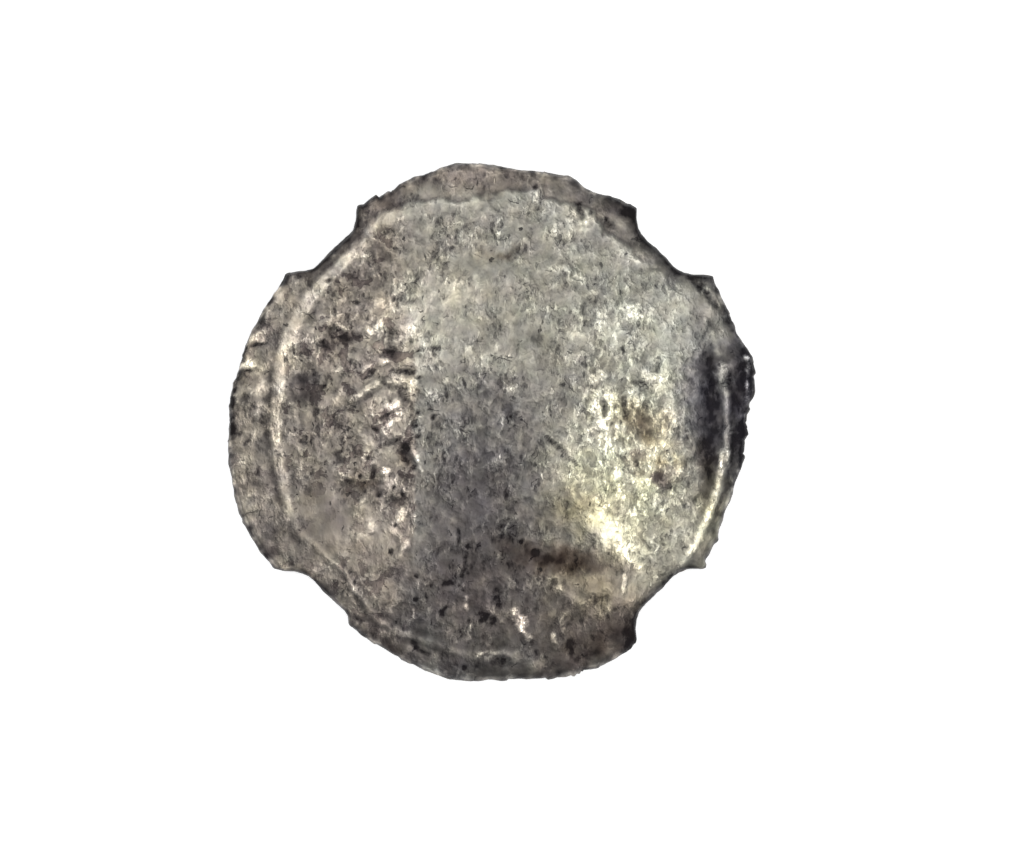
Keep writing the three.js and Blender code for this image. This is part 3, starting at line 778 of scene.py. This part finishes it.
def coin_faces(index, ring, under_index, under_ring):
    """The quads of the obverse, the edge and the reverse, and the triangles that join the edge's last row to
    the reverse's ring, two points to one."""
    first_edge = index.size
    first_reverse = first_edge + EDGE_ROWS * len(ring)
    edge_index = first_edge + np.arange(EDGE_ROWS * len(ring)).reshape(EDGE_ROWS, -1)
    edge_index = np.concatenate([ring[None], edge_index])
    edge_index = np.concatenate([edge_index, edge_index[:, :1]], 1)
    low, under = edge_index[-1], first_reverse + np.append(under_ring, under_ring[0])
    even, odd, following = low[:-1:2], low[1::2], low[2::2]
    strip = [(even, under[:-1], odd), (odd, under[:-1], under[1:]), (odd, under[1:], following)]
    fours = np.concatenate([quads(index), quads(edge_index), first_reverse + quads(under_index)[:, ::-1]])
    threes = np.concatenate([np.stack(corners, 1) for corners in strip])
    return fours.tolist() + threes.tolist()


def put_attribute(mesh, name, values):
    """Stores one number for each vertex."""
    layer = mesh.attributes.new(name, "FLOAT", "POINT")
    layer.data.foreach_set("value", np.ascontiguousarray(values, dtype=np.float32))


def build_coin():
    """The coin's skin as one closed mesh: the obverse's disc grid, rows round the edge, and a coarser disc
    grid for the reverse, drawn in a little at its rim. Each vertex carries the tones of its place."""
    share, bearing, index, ring = disc_grid(OBVERSE_CELLS)
    x, y = spread(share, bearing)
    rim_x, rim_y = x.ravel()[ring], y.ravel()[ring]
    z, skin = obverse_skin(x, y, edge_inset(x, y, rim_x, rim_y))
    obverse = np.stack([x.ravel(), y.ravel(), z.ravel()], 1)

    edge, edge_skin = edge_wall(bearing.ravel()[ring], z.ravel()[ring], skin["silver"].ravel()[ring])

    under_share, under_bearing, under_index, under_ring = disc_grid(REVERSE_CELLS)
    wide_x, wide_y = spread(under_share, under_bearing)
    drawn_in = 1 - REVERSE_TUCK * under_share**6
    under_x, under_y = wide_x * drawn_in, wide_y * drawn_in
    under_z = reverse_height(under_x, under_y, edge_inset(under_x, under_y, rim_x, rim_y))
    reverse = np.stack([under_x.ravel(), under_y.ravel(), under_z.ravel()], 1)
    reverse_skin = reverse_tones(wide_x, wide_y, under_z)

    points = np.concatenate([obverse, edge, reverse])
    mesh = bpy.data.meshes.new("struck_coin")
    mesh.from_pydata((points * MM).tolist(), [], coin_faces(index, ring, under_index, under_ring))
    mesh.shade_smooth()

    sides = [(skin, len(obverse)), (edge_skin, len(edge)), (reverse_skin, len(reverse))]
    for name in skin:
        values = [np.broadcast_to(np.ravel(side[name]), count) for side, count in sides]
        put_attribute(mesh, name, np.concatenate(values))
    piece = bpy.data.objects.new("struck_coin", mesh)
    bpy.context.collection.objects.link(piece)
    return piece


class Shade:
    """A socket in a node tree. Arithmetic on it adds Math nodes, and node() adds any other."""

    def __init__(self, tree, socket=None):
        self.tree = tree
        self.socket = socket

    def node(self, kind, settings, sockets, output=0):
        """Adds a node of a kind, sets its settings and a ramp's stops first, and then fills or links its
        sockets."""
        made = self.tree.nodes.new(kind)
        for name, value in settings.items():
            if name == "stops":
                while len(made.color_ramp.elements) < len(value):
                    made.color_ramp.elements.new(1)
                for element, (place, colour) in zip(made.color_ramp.elements, value):
                    element.position = place
                    element.color = (*colour, 1)
            else:
                setattr(made, name, value)
        for name, value in sockets.items():
            if isinstance(value, Shade):
                self.tree.links.new(value.socket, made.inputs[name])
            else:
                made.inputs[name].default_value = value
        return Shade(self.tree, made.outputs[output] if made.outputs else None)

    def output(self, name):
        """Another output of the node that this socket is on."""
        return Shade(self.tree, self.socket.node.outputs[name])

    def math(self, operation, *values):
        """Adds a Math node that works on values, each a number or a socket."""
        return self.node("ShaderNodeMath", {"operation": operation}, dict(enumerate(values)))

    # Each operator that is used adds one Math node
    def __add__(self, other):
        return self.math("ADD", self, other)

    def __sub__(self, other):
        return self.math("SUBTRACT", self, other)

    def __rsub__(self, other):
        return self.math("SUBTRACT", other, self)

    def __mul__(self, other):
        return self.math("MULTIPLY", self, other)

    def __abs__(self):
        return self.math("ABSOLUTE", self)

    __radd__ = __add__
    __rmul__ = __mul__

    def clamp(self, low, high):
        """The value, kept from going below low or above high."""
        return self.math("MINIMUM", self.math("MAXIMUM", self, low), high)

    def between(self, low, high):
        """0 at low and 1 at high, smooth between."""
        settings = {"interpolation_type": "SMOOTHSTEP"}
        return self.node("ShaderNodeMapRange", settings, {"Value": self, "From Min": low, "From Max": high})


def stored(make, name):
    """The number that each vertex stores under a name."""
    return make.node("ShaderNodeAttribute", {"attribute_name": name}, {}, "Fac")


def noise(place, scale, detail, roughness=0.55, output=0):
    """Smooth noise from 0 to 1 over places, with layers of detail that weaken by the roughness."""
    sockets = {"Vector": place, "Scale": scale, "Detail": detail, "Roughness": roughness}
    return place.node("ShaderNodeTexNoise", {}, sockets, output)


def swayed(place, scale, reach):
    """Places moved by noise of a scale, by up to about half the reach."""
    colour = noise(place, scale, 2, output="Color")
    apart = place.node("ShaderNodeVectorMath", {"operation": "SUBTRACT"}, {0: colour, 1: (0.5, 0.5, 0.5)})
    moved = place.node("ShaderNodeVectorMath", {"operation": "SCALE"}, {0: apart, "Scale": reach})
    return place.node("ShaderNodeVectorMath", {"operation": "ADD"}, {0: place, 1: moved})


def combed(place, turn, stretch):
    """Places drawn out along one direction, so that what is round there becomes a short stroke."""
    sockets = {"Vector": place, "Rotation": (0, 0, turn), "Scale": (1, stretch, 1)}
    return place.node("ShaderNodeMapping", {}, sockets)


def holes(place, scale, share, reach):
    """Small spots in a share of scattered cells, each of its own width and depth, from 0 to 1 deep."""
    cells = {"Vector": place, "Scale": scale}
    away = place.node("ShaderNodeTexVoronoi", {"voronoi_dimensions": "2D"}, cells, "Distance")
    draw = place.node("ShaderNodeSeparateColor", {}, {"Color": away.output("Color")}, "Red")
    rim = reach * (0.35 + 0.65 * draw.output("Green"))
    depth = 0.4 + 0.6 * draw.output("Blue")
    kept = 1 - (draw - share).between(-0.01, 0.01)
    return depth * kept * (1 - (away - rim).between(-0.035 * scale, 0.015 * scale))


def lumps(place, scale):
    """Noise with its middle levelled off: scattered lumps above 0, dents below, and flat skin between."""
    level = noise(place, scale, 2, 0.5) - 0.5
    return (level - LUMP_LEVEL).clamp(0, 1) - (-LUMP_LEVEL - level).clamp(0, 1)


def creases(place, scale, share, width):
    """Short curved lines: where noise passes through its middle, kept only where a second noise is high."""
    level = noise(place, scale, 1, 0.4) - 0.5
    kept = noise(place, 0.8 * scale, 1, 0.4).between(share, share + 0.05)
    return kept * (1 - abs(level).between(0.2 * width, width))


def toned_silver():
    """Old silver: bare metal where it is rubbed, brown-grey tarnish elsewhere, and dark grime in the hollows.
    Its stored tones also carry painted highlights, glints, reflections and shade."""
    material = bpy.data.materials.new("toned_silver")
    material.use_nodes = True
    tree = material.node_tree
    tree.nodes.clear()
    make = Shade(tree)
    here = make.node("ShaderNodeTexCoord", {}, {}, "Object")
    here = make.node("ShaderNodeVectorMath", {"operation": "SCALE"}, {0: here, "Scale": 1 / MM})
    ragged = swayed(here, 6.0, 0.36)
    bent_places = swayed(here, 3.5, 0.20)
    flowing = swayed(here, 1.4, 0.5)
    coarse = stored(make, "coarseness")
    blotched = stored(make, "blotching")
    crusted = stored(make, "crust")

    # The grain: grit and mottling, lumps that crowd in places, and creases
    grit = noise(here, 5.0, 2, 0.7) - 0.5
    mottle = noise(here, 1.6, 3) - 0.5
    crowd = 0.3 + noise(flowing, 0.9, 2).between(0.42, 0.62)
    steep_lumps = crowd * lumps(combed(bent_places, 0.25, 0.50), 6.2)
    slant_lumps = crowd * lumps(combed(bent_places, -0.95, 0.60), 4.2)
    soft_lumps = noise(flowing, 2.3, 2, 0.45) - 0.5
    pale_creases = creases(bent_places, 1.3, 0.60, 0.040)
    dark_creases = creases(bent_places, 2.3, 0.65, 0.022)

    # Pinholes, pits and scratches that hold dirt, and short painted glints
    speckled = 0.6 * coarse + 1.3 * blotched
    pins = holes(ragged, 2.7, 0.042 * speckled, 0.16)
    pits = holes(ragged, 1.1, 0.04 * speckled, 0.09)
    steep = holes(combed(bent_places, 0.25, 0.36), 2.6, 0.04, 0.12)
    slant = holes(combed(bent_places, -0.9, 0.32), 2.1, 0.04, 0.10)
    level = holes(combed(bent_places, 1.4, 0.34), 1.9, 0.03, 0.10)
    dark = (pins + pits + 0.8 * steep + 0.9 * slant + 0.9 * level).clamp(0, 1)
    painted_glints = holes(combed(bent_places, 0.15, 0.36), 2.4, 0.07, 0.12)

    # Islands of crust, blotches of patina, rubbed places, and the wear that tears the strokes
    crackle = noise(combed(bent_places, -0.7, 0.55), 4.2, 4, 0.7) - 0.5
    islands = crusted * (crackle.between(-0.06, 0.10) - 0.5)
    patina = (noise(flowing, 1.4, 4, 0.6) - 0.5).between(0.06, 0.10) * blotched
    rubbed = (noise(flowing, 1.7, 4, 0.55) - 0.47).between(0.04, 0.10) * blotched
    torn = 0.55 + 0.9 * noise(ragged, 5.5, 3, 0.6).between(0.36, 0.64)

    # How silvery and how dirty the skin is, and its fine relief
    strong = 0.2 + 0.75 * coarse
    flecks = 0.15 * grit + 1.3 * steep_lumps + 1.3 * slant_lumps + 0.25 * mottle + 0.42 * soft_lumps
    silver = stored(make, "silver") + stored(make, "strokes") * torn + strong * flecks
    silver = silver + 0.05 * pale_creases - 0.16 * dark_creases + 0.32 * islands + 0.12 * rubbed
    # Painted glints, brighter in the crust
    silver = silver - 0.15 * patina + (0.20 + 0.30 * crusted) * painted_glints - 0.25 * dark
    grime = (stored(make, "grime") + 0.15 * mottle + 0.20 * patina + 0.60 * dark).clamp(0, 1)
    relief = strong * (0.15 * grit + 1.6 * steep_lumps + 2.0 * slant_lumps + 1.4 * soft_lumps)
    relief = relief + 0.25 * islands - 0.3 * patina - 0.8 * dark + 0.3 * painted_glints - 0.4 * dark_creases

    metal = make.node("ShaderNodeValToRGB", {"stops": METAL_STOPS}, {"Fac": silver})
    tint = make.node("ShaderNodeCombineColor", {}, {
        "Red": 1 + stored(make, "redness") + 0.05 * mottle + 0.07 * patina,
        "Green": 1.0,
        "Blue": 1 - stored(make, "yellowness") - 0.06 * mottle + 0.02 * patina,
    })
    toned = make.node("ShaderNodeMix", {"data_type": "RGBA", "blend_type": "MULTIPLY"},
                      {"Factor": 1.0, 6: metal, 7: tint}, 2)
    dirty = make.node("ShaderNodeMix", {"data_type": "RGBA"},
                      {"Factor": grime * 0.7, 6: toned, 7: GRIME_COLOUR}, 2)
    bump = make.node("ShaderNodeBump", {}, {"Strength": 0.8, "Distance": BUMP_DEPTH * MM, "Height": relief})
    shader = make.node("ShaderNodeBsdfPrincipled", {}, {
        "Base Color": dirty,
        "Metallic": (0.96 - 0.5 * grime).clamp(0, 1),
        "Roughness": (0.54 - 0.22 * silver + 0.2 * grime + 0.1 * grit).clamp(0.26, 0.8),
        "Normal": bump,
    })
    make.node("ShaderNodeOutputMaterial", {}, {"Surface": shader})
    return material


def pale_floor():
    """A wide square of matt white card under the coin, glowing a little so that it stays near white."""
    half = CARD_HALF
    corners = [(-half, -half, 0), (half, -half, 0), (half, half, 0), (-half, half, 0)]
    mesh = bpy.data.meshes.new("floor")
    mesh.from_pydata(corners, [], [(0, 1, 2, 3)])
    floor = bpy.data.objects.new("floor", mesh)
    bpy.context.collection.objects.link(floor)
    material = bpy.data.materials.new("white_card")
    material.use_nodes = True
    shader = material.node_tree.nodes["Principled BSDF"]
    shader.inputs["Base Color"].default_value = CARD_COLOUR
    shader.inputs["Roughness"].default_value = 0.9
    shader.inputs["Specular IOR Level"].default_value = 0.1
    shader.inputs["Emission Color"].default_value = (1, 1, 1, 1)
    shader.inputs["Emission Strength"].default_value = CARD_GLOW
    mesh.materials.append(material)


def softbox(name, bearing, tilt, distance, size, radiance, colour):
    """A round soft light that faces the coin, at a bearing and a tilt from straight above. Its power is its
    radiance times pi times its area."""
    angle, lean = math.radians(bearing), math.radians(tilt)
    away = Vector((math.cos(angle) * math.sin(lean), math.sin(angle) * math.sin(lean), math.cos(lean)))
    light = bpy.data.lights.new(name, "AREA")
    light.shape = "DISK"
    light.size = size
    light.energy = radiance * math.pi * math.pi * size**2 / 4
    light.color = colour
    lamp = bpy.data.objects.new(name, light)
    lamp.location = away * distance
    lamp.rotation_euler = away.to_track_quat("Z", "Y").to_euler()
    bpy.context.collection.objects.link(lamp)


def studio():
    """A soft light near straight above, leaning to the lower right, a dimmer one further over at the top
    left, and a surround that is dim overhead and pale towards the horizon."""
    world = bpy.data.worlds.new("surround")
    world.use_nodes = True
    make = Shade(world.node_tree)
    direction = make.node("ShaderNodeTexCoord", {}, {}, "Generated")
    level = make.node("ShaderNodeSeparateXYZ", {}, {"Vector": direction}, "Z")
    strength = OVERHEAD_GLOW + HORIZON_GLOW * (1 - level.between(0.42, 0.82))
    background = world.node_tree.nodes["Background"]
    background.inputs["Color"].default_value = SURROUND_COLOUR
    world.node_tree.links.new(strength.socket, background.inputs["Strength"])
    bpy.context.scene.world = world
    softbox("key", bearing=-25, tilt=8, distance=0.6, size=0.26, radiance=7.2, colour=(1.0, 0.985, 0.95))
    softbox("fill", bearing=130, tilt=27, distance=0.6, size=0.34, radiance=2.6, colour=(1, 1, 1))
    bpy.context.scene.view_settings.view_transform = "Standard"


def camera_above():
    """A long lens straight above the coin, with the obverse's top upwards."""
    lens = bpy.data.cameras.new("camera")
    lens.sensor_width = SENSOR
    lens.lens = SENSOR * CAMERA_HEIGHT / (VIEW_WIDTH * MM)
    lens.clip_start = 0.01
    camera = bpy.data.objects.new("camera", lens)
    camera.location = (VIEW_CENTRE[0] * MM, VIEW_CENTRE[1] * MM, CAMERA_HEIGHT + VIEW_LEVEL * MM)
    bpy.context.collection.objects.link(camera)
    bpy.context.scene.camera = camera


camera_above()
studio()
pale_floor()
coin = build_coin()
coin.data.materials.append(toned_silver())
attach(coin, "root")
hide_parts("coin")
